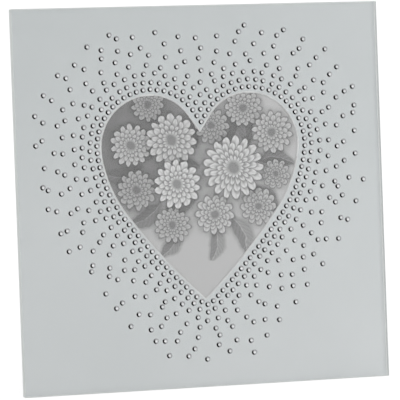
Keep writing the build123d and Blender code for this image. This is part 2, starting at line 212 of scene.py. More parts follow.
class Tree:
    """Short ways to put nodes into a material, a world or a group."""

    def __init__(self, node_tree):
        self.nodes = node_tree.nodes
        self.links = node_tree.links

    def add(self, kind, **settings):
        """A new shader node with its settings."""
        node = self.nodes.new("ShaderNode" + kind)
        for name, value in settings.items():
            setattr(node, name, value)
        return node

    def feed(self, target, value):
        """Links a value that nodes work out to an input, or sets the input to a plain one."""
        if isinstance(value, Field):
            value = value.socket
        if isinstance(value, bpy.types.NodeSocket):
            self.links.new(value, target)
        else:
            target.default_value = value

    def math(self, operation, *values):
        """A number worked out from others."""
        node = self.add("Math", operation=operation)
        for target, value in zip(node.inputs, values):
            self.feed(target, value)
        return Field(self, node.outputs[0])

    def dot(self, vector, direction):
        """How far a vector reaches in a direction."""
        node = self.add("VectorMath", operation="DOT_PRODUCT")
        self.feed(node.inputs[0], vector)
        self.feed(node.inputs[1], direction)
        return Field(self, node.outputs["Value"])

    def smooth(self, value, low, high, at_low=0.0, at_high=1.0):
        """A smooth step from one value to another as a number passes from low to high."""
        node = self.add("MapRange", interpolation_type="SMOOTHSTEP")
        for target, number in zip(node.inputs, (value, low, high, at_low, at_high)):
            self.feed(target, number)
        return Field(self, node.outputs[0])

    def fade(self, value, low, high):
        """A smooth step from 1 down to 0 as a number passes from low to high."""
        return self.smooth(value, low, high, at_low=1.0, at_high=0.0)

    def blend(self, share, first, second):
        """One number passing into another, by a share."""
        return first + share * (second - first)

    def tint(self, share, first, second):
        """One colour passing into another, by a share."""
        node = self.add("Mix", data_type="RGBA")
        self.feed(node.inputs["Factor"], share)
        self.feed(node.inputs[6], (*first, 1.0))
        self.feed(node.inputs[7], (*second, 1.0))
        return node.outputs[2]

    def noise(self, place, size, detail=3.0, distortion=0.0):
        """Cloudy noise about 0.5 whose lumps are about as large as the size."""
        node = self.add("TexNoise")
        self.feed(node.inputs["Vector"], place)
        self.feed(node.inputs["Scale"], 1 / size)
        self.feed(node.inputs["Detail"], detail)
        self.feed(node.inputs["Distortion"], distortion)
        return Field(self, node.outputs["Fac"])

    def cells(self, place, size):
        """Cells about as large as the size: a node that gives each one's colour and distances in it."""
        node = self.add("TexVoronoi")
        self.feed(node.inputs["Vector"], place)
        self.feed(node.inputs["Scale"], 1 / size)
        return node

    def stretched(self, place, shares):
        """A place scaled along each axis, for grain that runs one way."""
        node = self.add("Mapping")
        self.feed(node.inputs["Vector"], place)
        self.feed(node.inputs["Scale"], shares)
        return node.outputs[0]

    def bump(self, height, depth):
        """A surface pressed in and out by a depth."""
        node = self.add("Bump")
        self.feed(node.inputs["Distance"], depth)
        self.feed(node.inputs["Height"], height)
        return node.outputs[0]

    def object_place(self):
        """Place on the object, in its own axes."""
        return self.add("TexCoord").outputs["Object"]

    def light_path(self, *kinds):
        """1 for rays of any of the named kinds and 0 for others."""
        path = self.add("LightPath")
        found = Field(self, path.outputs[kinds[0]])
        for kind in kinds[1:]:
            found = self.math("MAXIMUM", found, path.outputs[kind])
        return found


def new_material(name):
    """A material, its tree and its Principled shader."""
    material = bpy.data.materials.new(name)
    material.use_nodes = True
    tree = Tree(material.node_tree)
    return material, tree, tree.nodes["Principled BSDF"]


def set_inputs(tree, shader, **values):
    """Sets inputs of a shader, named with underscores for spaces."""
    for name, value in values.items():
        tree.feed(shader.inputs[name.replace("_", " ")], value)


def see_through(tree, shader, share):
    """Lets a share of the light straight through a material's surface."""
    mix = tree.add("MixShader")
    tree.feed(mix.inputs[0], share)
    tree.links.new(shader.outputs[0], mix.inputs[1])
    tree.links.new(tree.add("BsdfTransparent").outputs[0], mix.inputs[2])
    tree.links.new(mix.outputs[0], tree.nodes["Material Output"].inputs["Surface"])


def lamp_clear(tree, shader):
    """Lets lamps and scattered light straight through a glass, so that they reach what it covers."""
    see_through(tree, shader, tree.light_path("Is Shadow Ray", "Is Diffuse Ray"))


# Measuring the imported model


def flat_axes(name):
    """Axes of a flat node: to the right, through it to the back, and up it."""
    depth = max(frame["nodes"][name].data.polygons, key=lambda face: face.area).normal.copy()
    if depth.y < 0:
        depth.negate()
    right = Vector((1, 0, 0))
    return Matrix((right, depth, right.cross(depth))).transposed().to_4x4()


def low_and_high(points):
    """Lowest and highest corners of a set of points."""
    columns = list(zip(*points))
    return Vector(min(column) for column in columns), Vector(max(column) for column in columns)


def node_mesh(name, axes):
    """The node's mesh in the given axes, with its split corners joined."""
    mesh = bmesh.new()
    mesh.from_mesh(frame["nodes"][name].data)
    mesh.transform(axes.inverted())
    bmesh.ops.remove_doubles(mesh, verts=mesh.verts, dist=MERGE_DISTANCE)
    return mesh


def node_extent(name, axes):
    """Lowest and highest corners of a node in the given axes."""
    mesh = node_mesh(name, axes)
    extent = low_and_high([corner.co for corner in mesh.verts])
    mesh.free()
    return extent


def node_islands(name, axes):
    """Corners of each separate solid of a node, in the given axes, from its first corner on."""
    mesh = node_mesh(name, axes)
    islands = []
    found = set()
    for first in mesh.verts:
        if first in found:
            continue
        found.add(first)
        todo = [first]
        island = []
        while todo:
            corner = todo.pop()
            island.append(corner.co.copy())
            for edge in corner.link_edges:
                other = edge.other_vert(corner)
                if other not in found:
                    found.add(other)
                    todo.append(other)
        islands.append(island)
    mesh.free()
    return sorted(islands, key=lambda island: tuple(sum(island, Vector()) / len(island)))


def panel_axes():
    """Panel frame, with its origin on the glass face, at the middle of the bottom edge."""
    turned = flat_axes("front_glass")
    low, high = node_extent("front_glass", turned)
    middle = (low.x + high.x) / 2
    return turned @ Matrix.Translation((middle, low.y, low.z))


PANEL = panel_axes()
LEG = flat_axes("strut_leg")
GLASS_LOW, GLASS_HIGH = node_extent("front_glass", PANEL)
RIGHT = 0
UP = 2


def panel_measure(tree, place, axis):
    """How far a place lies along an axis of the panel, RIGHT or UP, in millimetres."""
    direction = PANEL.col[axis].xyz
    return (tree.dot(place, direction) - PANEL.translation.dot(direction)) / MM


# Making pieces


def stored(name, mesh):
    """Mesh data made from a working mesh, which is freed."""
    data = bpy.data.meshes.new(name)
    mesh.to_mesh(data)
    mesh.free()
    return data


def placed(name, data):
    """A new object in the scene."""
    item = bpy.data.objects.new(name, data)
    bpy.context.scene.collection.objects.link(item)
    return item


def add_piece(name, mesh, axes, body, materials, node):
    """An object from a mesh drawn in the given axes, standing for a node of the frame."""
    mesh.transform(axes)
    bmesh.ops.recalc_face_normals(mesh, faces=mesh.faces)
    data = stored(name, mesh)
    for material in materials:
        data.materials.append(material)
    piece = placed(name, data)
    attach(piece, body)
    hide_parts(node)
    return piece


# Materials of the glass, the film and the stones


def clear_glass():
    """Clear float glass with faint smears."""
    material, tree, shader = new_material("clear_glass")
    place = tree.object_place()
    smears = tree.noise(tree.stretched(place, (0.5, 1.0, 1.6)), size=14 * MM, detail=5.0, distortion=0.6)
    set_inputs(
        tree, shader,
        Base_Color=tree.tint(tree.noise(place, size=60 * MM), *CLEAR_COLOURS),
        Roughness=tree.smooth(smears, low=0.5, high=0.9, at_low=0.0, at_high=0.03),
        IOR=GLASS_IOR,
        Transmission_Weight=1.0,
    )
    lamp_clear(tree, shader)
    return material


def ground_glass():
    """Edges of the glass, ground matt by a fine stone."""
    material, tree, shader = new_material("ground_glass")
    place = tree.object_place()
    grit = tree.noise(place, size=0.25 * MM, detail=4.0)
    runs = tree.noise(tree.stretched(place, (0.15, 1.0, 0.15)), size=1.2 * MM)
    set_inputs(
        tree, shader,
        Base_Color=tree.tint(runs * 0.6 + grit * 0.4, *GROUND_COLOURS),
        Roughness=tree.smooth(grit, low=0.3, high=0.7, at_low=0.35, at_high=0.55),
        IOR=GLASS_IOR,
        Transmission_Weight=0.1,
        Normal=tree.bump(grit, depth=0.03 * MM),
    )
    lamp_clear(tree, shader)
    return material


def silver_lacquer():
    """Pale silver lacquer with fine metal flake, and painted light that makes it lighter towards the bottom
    edge and darker towards the top.
    """
    material, tree, shader = new_material("silver_lacquer")
    place = tree.object_place()
    glint = tree.dot(tree.cells(place, size=0.12 * MM).outputs["Color"], (0.4, 0.3, 0.3))
    clouds = tree.noise(place, size=70 * MM, detail=2.0)
    height = panel_measure(tree, place, UP)
    # Painted light: the tone grows lighter towards the bottom edge and darker towards the top.
    painted_light = tree.smooth(height, low=0.0, high=GLASS_HIGH.z / MM, at_low=FILM_PAINTED_LIGHT_SHARE, at_high=-FILM_PAINTED_LIGHT_SHARE)
    set_inputs(
        tree, shader,
        Base_Color=tree.tint(clouds * 0.7 + glint * 0.3 + painted_light, *LACQUER_COLOURS),
        Metallic=0.25,
        Roughness=tree.smooth(glint, low=0.2, high=0.8, at_low=0.34, at_high=0.48),
        Normal=tree.bump(tree.noise(place, size=0.3 * MM), depth=0.004 * MM),
    )
    return material


def line_lacquer():
    """Lighter line of thick lacquer round the window."""
    material, tree, shader = new_material("line_lacquer")
    beads = tree.noise(tree.object_place(), size=0.5 * MM)
    set_inputs(
        tree, shader,
        Base_Color=tree.tint(beads, *LINE_COLOURS),
        Roughness=tree.smooth(beads, low=0.3, high=0.7, at_low=0.3, at_high=0.42),
        Normal=tree.bump(beads, depth=0.01 * MM),
    )
    return material


def painted_edge_shadow():
    """Painted shadow just inside the window: a thin dark sheet, mostly see-through, that darkens the print
    under it as the shade of the film's edge.
    """
    material, tree, shader = new_material("painted_edge_shadow")
    drift = tree.noise(tree.object_place(), size=1.5 * MM)
    set_inputs(
        tree, shader,
        Base_Color=tree.tint(drift, *EDGE_SHADOW_COLOURS),
        Roughness=tree.smooth(drift, low=0.3, high=0.7, at_low=0.5, at_high=0.65),
    )
    see_through(tree, shader, 1 - EDGE_SHADOW_STRENGTH)
    return material


def foiled_crystal(name, colours):
    """Cut glass over silver foil, between two tones from stone to stone."""
    material, tree, shader = new_material(name)
    place = tree.object_place()
    clouds = tree.noise(place, size=2.2 * MM, detail=1.0)
    flaws = tree.noise(place, size=0.35 * MM, detail=4.0)
    set_inputs(
        tree, shader,
        Base_Color=tree.tint(tree.smooth(clouds, low=0.3, high=0.7), *colours),
        Metallic=1.0,
        Roughness=tree.smooth(flaws, low=0.35, high=0.75, at_low=0.05, at_high=0.13),
        Coat_Weight=0.5,
        Coat_Roughness=0.03,
    )
    return material


# Materials of the back and its fittings


def flocked_board():
    """Black flock on fibreboard, brushed a little one way and rubbed in places."""
    material, tree, shader = new_material("flocked_board")
    place = tree.object_place()
    fibres = tree.noise(place, size=0.16 * MM, detail=4.0)
    tufts = tree.noise(tree.stretched(place, (1.0, 1.0, 0.45)), size=0.9 * MM)
    rubbed = tree.smooth(tree.noise(place, size=22 * MM, distortion=0.5), low=0.45, high=0.75)
    set_inputs(
        tree, shader,
        Base_Color=tree.tint(fibres * 0.5 + tufts * 0.3 + rubbed * 0.2, *FLOCK_COLOURS),
        Roughness=tree.smooth(tufts, low=0.3, high=0.7, at_low=0.82, at_high=0.97),
        Sheen_Weight=0.35,
        Sheen_Roughness=0.4,
        Normal=tree.bump(fibres * 0.6 + tufts * 0.4, depth=0.12 * MM),
    )
    return material


def foam_tape():
    """White foam tape with fine closed cells."""
    material, tree, shader = new_material("foam_tape")
    place = tree.object_place()
    bubbles = Field(tree, tree.cells(place, size=0.3 * MM).outputs["Distance"])
    stain = tree.noise(place, size=9 * MM)
    set_inputs(
        tree, shader,
        Base_Color=tree.tint(bubbles * 0.5 + stain * 0.5, *TAPE_COLOURS),
        Roughness=tree.smooth(bubbles, low=0.1, high=0.6, at_low=0.6, at_high=0.85),
        Normal=tree.bump(bubbles, depth=0.08 * MM),
    )
    return material


def white_card():
    """Uncoated card with visible fibres."""
    material, tree, shader = new_material("white_card")
    grain = tree.stretched(tree.object_place(), (0.3, 1.0, 1.0))
    fibres = tree.noise(grain, size=0.4 * MM, detail=4.0, distortion=0.8)
    set_inputs(
        tree, shader,
        Base_Color=tree.tint(fibres, *CARD_COLOURS),
        Roughness=tree.smooth(fibres, low=0.3, high=0.7, at_low=0.75, at_high=0.9),
        Normal=tree.bump(fibres, depth=0.02 * MM),
    )
    return material


def plated_steel(name, colours):
    """Nickel on rolled steel, with fine rolling lines, small pits and dull patches."""
    material, tree, shader = new_material(name)
    place = tree.object_place()
    lines = tree.noise(tree.stretched(place, (0.05, 1.0, 1.6)), size=0.2 * MM, detail=4.0)
    dull = tree.smooth(tree.noise(place, size=5 * MM, detail=4.0, distortion=0.4), low=0.42, high=0.7)
    pits = tree.smooth(Field(tree, tree.cells(place, size=0.8 * MM).outputs["Distance"]), low=0.0, high=0.12)
    set_inputs(
        tree, shader,
        Base_Color=tree.tint(dull * 0.5 + lines * 0.5, *colours),
        Metallic=1.0,
        Roughness=tree.blend(dull, 0.24 + lines * 0.1, 0.36),
        Normal=tree.bump(lines * 0.3 + pits * 0.7, depth=0.012 * MM),
    )
    return material


# The print: pale many-petalled blossoms and leaves on a soft ground, in greys. Its places are in
# millimetres on the panel, and its tones run from 0 to 1 as displayed.

DISPLAY_GAMMA = 2.2
PRINT_LIFT = 0.04
PRINT_GRAIN_DEPTH = 0.03
MOTIF_BEND = 2.4
MOTIF_TRACE = 1e-6

# The ground, with clouds and a slanting shade in its upper part
GROUND_TONE = 0.71
GROUND_CLOUD_DEPTH = 0.16
GROUND_SHADE_DEPTH = 0.32
SHADE_SLANT = 0.35
SHADE_SLANT_HEIGHT = 90.0
SHADE_FULL_X = -45.0
SHADE_END_X = 25.0
SHADE_FROM_HEIGHT = 66.0
SHADE_FULL_HEIGHT = 104.0

# A blossom, in shares of its radius and of its tone
BLOSSOM_INPUTS = ("Behind", "X", "Height", "Middle X", "Middle Height", "Radius", "Petals", "Turn", "Light")
PETAL_RING_SHARES = (1.0, 0.78, 0.56, 0.36)
PETAL_RING_TURN = 37.0
PETAL_NOTCH_SHARE = 0.38
PETAL_EDGE_INSIDE = 0.03
PETAL_EDGE_OUTSIDE = 0.02
PETAL_SHADOW_WIDTH = 0.13
EYE_INNER_SHARE = 0.13
EYE_OUTER_SHARE = 0.2
EYE_TONE_SHARE = 0.62

# A leaf, in shares of its length and of its tone, and how its veins run
LEAF_INPUTS = ("Behind", "X", "Height", "Root X", "Root Height", "Length", "Turn", "Light")
LEAF_BOW_SHARE = 0.12
LEAF_WIDTH_SHARE = 0.2
LEAF_STALK_SHARE = 0.001
LEAF_FULLNESS = 0.8
LEAF_TIP_SHARE = 0.02
LEAF_EDGE_INSIDE = 0.02
LEAF_EDGE_OUTSIDE = 0.01
LEAF_SHADOW_WIDTH = 0.1
LEAF_FOLD_SHARE = 0.01
LEAF_TONE_SHARE = 0.92
RIB_WIDTH_SHARE = 0.018
RIB_TONE_SHARE = 0.28
VEIN_TONE_SHARE = 0.05
VEIN_SLANT = 1.2
VEIN_RADIANS = 52.0

# Blossoms: place of the middle and radius in millimetres, petals, turn in degrees, tone
BLOSSOMS = (
    (-32.0, 94.0, 9.5, 13, 20, 0.62),
    (-15.0, 77.0, 8.5, 14, 55, 0.66),
    (-25.0, 134.0, 8.0, 13, 45, 0.60),
    (22.0, 131.0, 9.0, 14, 30, 0.67),
    (6.0, 123.0, 8.5, 12, 15, 0.62),
    (36.0, 119.0, 10.0, 14, 70, 0.70),
    (-34.0, 115.0, 10.0, 15, 35, 0.70),
    (28.0, 84.0, 9.0, 12, 5, 0.68),
    (-14.0, 117.0, 12.5, 15, 40, 0.74),
    (6.0, 81.0, 9.5, 12, 25, 0.72),
    (37.0, 99.0, 7.0, 11, 60, 0.66),
    (16.0, 103.0, 15.0, 17, 10, 0.78),
    (-12.0, 96.0, 11.5, 14, 80, 0.79),
)

# Leaves: place of the root and length in millimetres, turn in degrees, tone
LEAVES = (
    (-24.0, 108.0, 20.0, 118, 0.36),
    (-28.0, 104.0, 19.0, 188, 0.40),
    (-2.0, 112.0, 22.0, 92, 0.38),
    (12.0, 112.0, 21.0, 62, 0.42),
    (24.0, 112.0, 20.0, 84, 0.44),
    (28.0, 106.0, 19.0, -8, 0.46),
    (22.0, 92.0, 20.0, -32, 0.50),
    (-20.0, 88.0, 20.0, 212, 0.44),
    (-12.0, 76.0, 17.0, 236, 0.52),
    (6.0, 76.0, 17.0, 262, 0.56),
    (14.0, 80.0, 20.0, 292, 0.55),
    (-2.0, 92.0, 18.0, 205, 0.42),
    (0.0, 104.0, 18.0, 150, 0.40),
)


def tone_group(name, inputs):
    """An empty node group that takes numbers and gives a tone, with its inputs by name."""
    group = bpy.data.node_groups.new(name, "ShaderNodeTree")
    for label in inputs:
        group.interface.new_socket(label, in_out="INPUT", socket_type="NodeSocketFloat")
    group.interface.new_socket("Tone", in_out="OUTPUT", socket_type="NodeSocketFloat")
    tree = Tree(group)
    source = group.nodes.new("NodeGroupInput")
    sink = group.nodes.new("NodeGroupOutput")
    return group, tree, [Field(tree, socket) for socket in source.outputs[: len(inputs)]], sink.inputs[0]


def blossom_group():
    """A blossom of four rings of narrow petals, with a soft shadow round it."""
    group, tree, fields, sink = tone_group("blossom", BLOSSOM_INPUTS)
    behind, x, height, middle_x, middle_height, radius, petals, turn, light = fields
    turn = tree.math("RADIANS", turn)
    across = x - middle_x
    above = height - middle_height
    reach = tree.math("SQRT", across * across + above * above) / radius
    bearing = tree.math("ARCTAN2", above, across)
    tone = behind * tree.smooth(reach, low=0.7, high=1.35, at_low=0.72, at_high=1.0)
    for number, ring in enumerate(PETAL_RING_SHARES):
        swing = (bearing + math.radians(PETAL_RING_TURN) * number) * petals / 2 + turn
        wave = tree.math("ABSOLUTE", tree.math("COSINE", swing))
        rim = ring * (1 - PETAL_NOTCH_SHARE + PETAL_NOTCH_SHARE * wave ** 0.5)
        inside = tree.fade(reach, rim - PETAL_EDGE_INSIDE, rim + PETAL_EDGE_OUTSIDE)
        fold = tree.smooth(wave, low=0.0, high=0.75, at_low=0.72, at_high=1.0)
        crease = tree.smooth(wave, low=0.93, high=1.0, at_low=1.0, at_high=0.93)
        depth = tree.smooth(reach / rim, low=0.25, high=1.0, at_low=0.62, at_high=1.08)
        cast = tree.smooth(reach, rim, rim + PETAL_SHADOW_WIDTH, at_low=0.7, at_high=1.0)
        tone = tree.blend(inside, tone * cast, light * fold * crease * depth)
    eye = tree.fade(reach, EYE_INNER_SHARE, EYE_OUTER_SHARE)
    tree.feed(sink, tree.blend(eye, tone, light * EYE_TONE_SHARE))
    return group


def leaf_group():
    """A pointed leaf with a pale midrib and side veins."""
    group, tree, fields, sink = tone_group("leaf", LEAF_INPUTS)
    behind, x, height, root_x, root_height, length, turn, light = fields
    turn = tree.math("RADIANS", turn)
    across = x - root_x
    above = height - root_height
    along = (across * tree.math("COSINE", turn) + above * tree.math("SINE", turn)) / length
    aside = (above * tree.math("COSINE", turn) - across * tree.math("SINE", turn)) / length
    arch = tree.math("SINE", along * math.pi)
    bowed = aside - LEAF_BOW_SHARE * arch
    offset = tree.math("ABSOLUTE", bowed)
    width = LEAF_WIDTH_SHARE * tree.math("MAXIMUM", arch, 0.0) ** LEAF_FULLNESS + LEAF_STALK_SHARE
    within = tree.smooth(along, 0.0, LEAF_TIP_SHARE) * tree.fade(along, 1 - LEAF_TIP_SHARE, 1.0)
    edge = tree.fade(offset, width - LEAF_EDGE_INSIDE, width + LEAF_EDGE_OUTSIDE)
    rib = tree.fade(offset, 0.0, RIB_WIDTH_SHARE)
    veins = tree.math("SINE", (along - offset * VEIN_SLANT) * VEIN_RADIANS)
    half = tree.smooth(bowed, -LEAF_FOLD_SHARE, LEAF_FOLD_SHARE, at_low=0.9, at_high=1.06)
    shade = light * half * (LEAF_TONE_SHARE + VEIN_TONE_SHARE * veins + RIB_TONE_SHARE * rib)
    cast = tree.smooth(offset, width, width + LEAF_SHADOW_WIDTH, at_low=0.84, at_high=1.0)
    shadow = within * cast + (1.0 - within)
    tree.feed(sink, tree.blend(within * edge, behind * shadow, shade))
    return group


def with_motifs(tree, group, tone, x, height, motifs):
    """The tone with a row of motifs laid over it, each of them from its own numbers.

    Each motif's place also takes in a trace of the tone so far, too small to show, so that the
    motifs are worked out one after another: all at once they are more than a shader can hold.
    """
    for across, above, *numbers in motifs:
        trace = tone * MOTIF_TRACE
        node = tree.add("Group", node_tree=group)
        for target, value in zip(node.inputs, (tone, x + trace, height + trace, across, above, *numbers)):
            tree.feed(target, value)
        tone = Field(tree, node.outputs[0])
    return tone


def picture_print():
    """Paper with a soft grey picture of blossoms, printed matt."""
    material, tree, shader = new_material("picture_print")
    place = tree.object_place()
    x = panel_measure(tree, place, RIGHT)
    height = panel_measure(tree, place, UP)
    slanted = x - (height - SHADE_SLANT_HEIGHT) * SHADE_SLANT
    left = tree.fade(slanted, SHADE_FULL_X, SHADE_END_X)
    upper = tree.smooth(height, SHADE_FROM_HEIGHT, SHADE_FULL_HEIGHT)
    clouds = tree.noise(place, size=13 * MM, detail=2.0) - 0.5
    tone = GROUND_TONE - GROUND_SHADE_DEPTH * left * upper + clouds * GROUND_CLOUD_DEPTH * upper
    wander = tree.noise(place, size=6 * MM, detail=2.0) - 0.5
    stray = tree.noise(tree.stretched(place, (1.3, 1.3, 1.3)), size=5 * MM, detail=2.0) - 0.5
    bent = (x + wander * MOTIF_BEND, height + stray * MOTIF_BEND)
    tone = with_motifs(tree, leaf_group(), tone, *bent, LEAVES)
    tone = with_motifs(tree, blossom_group(), tone, *bent, BLOSSOMS)
    grain = tree.noise(place, size=0.35 * MM, detail=2.0) - 0.5
    printed = tree.math("MAXIMUM", tone + PRINT_LIFT + grain * PRINT_GRAIN_DEPTH, 0.0)
    fibres = tree.noise(tree.stretched(place, (0.4, 1.0, 1.0)), size=0.3 * MM, detail=4.0)
    set_inputs(
        tree, shader,
        Base_Color=tree.tint(printed ** DISPLAY_GAMMA, *PRINT_COLOURS),
        Roughness=tree.smooth(fibres, low=0.3, high=0.7, at_low=0.42, at_high=0.58),
        Normal=tree.bump(fibres, depth=0.006 * MM),
    )
    return material


# Glass and film


def glass_piece(clear, ground):
    """The plate with its arrises, clear on both faces and ground round the edge."""
    film_low = node_extent("silver_film", PANEL)[0]
    low = GLASS_LOW
    high = Vector((GLASS_HIGH.x, film_low.y - GLASS_FILM_GAP, GLASS_HIGH.z))
    arris = film_low.x - low.x
    mesh = bmesh.new()
    bmesh.ops.create_cube(mesh, size=1.0)
    bmesh.ops.scale(mesh, vec=high - low, verts=mesh.verts)
    bmesh.ops.translate(mesh, vec=(low + high) / 2, verts=mesh.verts)
    bmesh.ops.bevel(mesh, geom=mesh.edges[:], offset=arris, segments=2, profile=0.5, affect="EDGES")
    for face in mesh.faces:
        face.normal_update()
        face.material_index = 0 if abs(face.normal.y) > FLAT_COSINE else 1
    add_piece("glass_plate", mesh, PANEL, "panel", [clear, ground], "front_glass")


def front_rims(name):
    """Loops round the front face of a flat node, the one with the fewest corners first."""
    mesh = node_mesh(name, PANEL)
    mesh.normal_update()
    front = {face for face in mesh.faces if face.normal.y < -FLAT_COSINE}
    edges = [edge for edge in mesh.edges if sum(face in front for face in edge.link_faces) == 1]
    links = {}
    for edge in edges:
        for corner in edge.verts:
            links.setdefault(corner, []).append(edge.other_vert(corner))
    rims = []
    while links:
        corner = next(iter(links))
        rim = []
        while corner is not None:
            rim.append(corner.co.copy())
            corner = next((other for other in links.pop(corner) if other in links), None)
        rims.append(rim)
    mesh.free()
    return sorted(rims, key=len)


def grown(rim, distance):
    """A closed rim on the panel moved outwards by a distance, or inwards if it is negative."""
    count = len(rim)
    pairs = [(rim[number - 1], rim[number]) for number in range(count)]
    area = sum(first.x * second.z - second.x * first.z for first, second in pairs)
    side = math.copysign(distance, area)
    moved = []
    for number, corner in enumerate(rim):
        before = (corner - rim[number - 1]).normalized()
        after = (rim[(number + 1) % count] - corner).normalized()
        run = (before + after).normalized()
        out = Vector((run.z, 0, -run.x))
        moved.append(corner + out * side / max(run.dot(after), LEAST_MITRE_COSINE))
    return moved


def film_piece(materials):
    """The film with its heart window, a lighter line round the window and a painted shadow just inside it.
    """
    low, high = node_extent("silver_film", PANEL)
    square, heart = front_rims("silver_film")
    loops = [square, grown(heart, FILM_LINE_WIDTH), heart, grown(heart, -FILM_SHADE_WIDTH)]
    mesh = bmesh.new()
    rings = [[mesh.verts.new(corner) for corner in loop] for loop in loops]
    border = []
    for ring in rings[:2]:
        for number, corner in enumerate(ring):
            border.append(mesh.edges.new((ring[number - 1], corner)))
    bmesh.ops.triangle_fill(mesh, use_beauty=True, use_dissolve=False, edges=border)
    for slot, (outer, inner) in enumerate(zip(rings[1:], rings[2:]), start=1):
        for number in range(len(outer)):
            face = mesh.faces.new((outer[number - 1], outer[number], inner[number], inner[number - 1]))
            face.material_index = slot
    grown_faces = bmesh.ops.extrude_face_region(mesh, geom=mesh.faces[:], use_keep_orig=True)
    backs = [item for item in grown_faces["geom"] if isinstance(item, bmesh.types.BMVert)]
    bmesh.ops.translate(mesh, vec=(0, high.y - low.y, 0), verts=backs)
    add_piece("window_film", mesh, PANEL, "panel", materials, "silver_film")


# Crystals


def stone_points():
    """Corners of a stone of unit radius and height, ring by ring from its back to its table."""
    rings = (
        (1.0, 0.0, 0.0, 2 * STONE_SIDES),
        (1.0, GIRDLE_HEIGHT_SHARE, 0.0, 2 * STONE_SIDES),
        (STAR_RADIUS_SHARE, STAR_HEIGHT_SHARE, 0.0, STONE_SIDES),
        (TABLE_RADIUS_SHARE, 1.0, FULL_TURN / STONE_SIDES / 2, STONE_SIDES),
    )
    points = []
    for radius, height, first_angle, count in rings:
        for number in range(count):
            angle = first_angle + FULL_TURN * number / count
            points.append((radius * cosine(angle), radius * sine(angle), height))
    return points


def stone_faces():
    """Facets of one stone in three sets: its table, the low crown round it, and its sides and back."""
    rim = 2 * STONE_SIDES
    base = list(range(rim))
    girdle = [rim + number for number in base]
    star = [2 * rim + number for number in range(STONE_SIDES)]
    table = [2 * rim + STONE_SIDES + number for number in range(STONE_SIDES)]
    crown = []
    sides = [base]
    for number in base:
        after = (number + 1) % rim
        sides.append([base[number], base[after], girdle[after], girdle[number]])
    for number in range(STONE_SIDES):
        after = (number + 1) % STONE_SIDES
        sides.append([star[number], girdle[2 * number - 1], girdle[2 * number]])
        sides.append([star[number], girdle[2 * number], girdle[2 * number + 1]])
        sides.append([star[number], girdle[2 * number + 1], star[after]])
        crown.append([star[number], star[after], table[number]])
        crown.append([star[number], table[number], table[number - 1]])
    return [table], crown, sides


def crystal_piece(name, materials):
    """Cut stones in the places and turns of a row's plain ones, and a little wider.

    Only the camera sees them, so that they neither shade nor tint the film round them.
    """
    points = stone_points()
    facets = stone_faces()
    mesh = bmesh.new()
    for island in node_islands(name, PANEL):
        low, high = low_and_high(island)
        rim = [corner for corner in island if high.y - corner.y < TOLERANCE]
        middle = sum(rim, Vector()) / len(rim)
        arm = rim[0] - middle
        radius = arm.length * STONE_SPREAD
        turn = math.atan2(arm.z, arm.x)
        corners = []
        for right, up, out in points:
            x = right * math.cos(turn) - up * math.sin(turn)
            z = right * math.sin(turn) + up * math.cos(turn)
            place = (middle.x + radius * x, high.y - out * (high.y - low.y), middle.z + radius * z)
            corners.append(mesh.verts.new(place))
        for slot, faces in enumerate(facets):
            for face in faces:
                mesh.faces.new([corners[number] for number in face]).material_index = slot
    stones = add_piece("cut_" + name, mesh, PANEL, "panel", materials, name)
    stones.visible_shadow = False
    stones.visible_diffuse = False
    stones.visible_glossy = False
    stones.visible_transmission = False


# Screws, rivets and the hinge pin


def domed_stud(rod, radius, tip, seat, top):
    """Headed rod along the depth, its head a low dome on a short rim."""
    rim = HEAD_RIM_SHARE * (top - seat)
    profile = [(0.0, tip), (rod, tip), (rod, seat), (radius, seat)]
    for step in range(HEAD_STEPS + 1):
        angle = QUARTER_TURN * step / HEAD_STEPS
        profile.append((radius * cosine(angle), seat + rim + (top - seat - rim) * sine(angle)))
    mesh = bmesh.new()
    corners = [mesh.verts.new((across, depth, 0)) for across, depth in profile]
    edges = [mesh.edges.new(pair) for pair in zip(corners, corners[1:])]
    bmesh.ops.spin(
        mesh, geom=corners + edges, axis=(0, 1, 0), cent=(0, 0, 0),
        steps=HEAD_SEGMENTS, angle=math.radians(FULL_TURN), use_merge=True,
    )
    bmesh.ops.remove_doubles(mesh, verts=mesh.verts, dist=MERGE_DISTANCE)
    bmesh.ops.recalc_face_normals(mesh, faces=mesh.faces)
    return mesh


def cross_cutter(radius, seat, top):
    """Two crossed bars that taper into a screw head."""
    depth = RECESS_DEPTH_SHARE * (top - seat)
    size = (2 * RECESS_LENGTH_SHARE * radius, 2 * depth, 2 * RECESS_WIDTH_SHARE * radius)
    mesh = bmesh.new()
    for turn in (0.0, QUARTER_TURN):
        bar = bmesh.ops.create_cube(mesh, size=1.0)["verts"]
        bmesh.ops.scale(mesh, vec=size, verts=bar)
        for corner in bar:
            if corner.co.y < 0:
                corner.co.x *= RECESS_TAPER_SHARE
        bmesh.ops.rotate(mesh, matrix=Matrix.Rotation(math.radians(turn), 3, "Y"), verts=bar)
        bmesh.ops.translate(mesh, vec=(0, top, 0), verts=bar)
    return mesh


def carved(mesh, cutter):
    """A mesh with another taken out of it."""
    body = placed("carved_body", stored("carved_body", mesh))
    tool = placed("carved_cutter", stored("carved_cutter", cutter))
    cut = body.modifiers.new("cut", "BOOLEAN")
    cut.operation = "DIFFERENCE"
    cut.solver = "EXACT"
    cut.use_self = True
    cut.object = tool
    shaped = body.evaluated_get(bpy.context.evaluated_depsgraph_get())
    result = bmesh.new()
    result.from_mesh(shaped.data)
    for item in (body, tool):
        bpy.data.objects.remove(item)
    return result


def join(whole, mesh, turn, axis, place):
    """Adds a working mesh to another, turned by radians about an axis and moved to its place."""
    bmesh.ops.rotate(mesh, matrix=Matrix.Rotation(turn, 3, axis), verts=mesh.verts)
    bmesh.ops.translate(mesh, vec=place, verts=mesh.verts)
    data = stored("part", mesh)
    whole.from_mesh(data)
    bpy.data.meshes.remove(data)


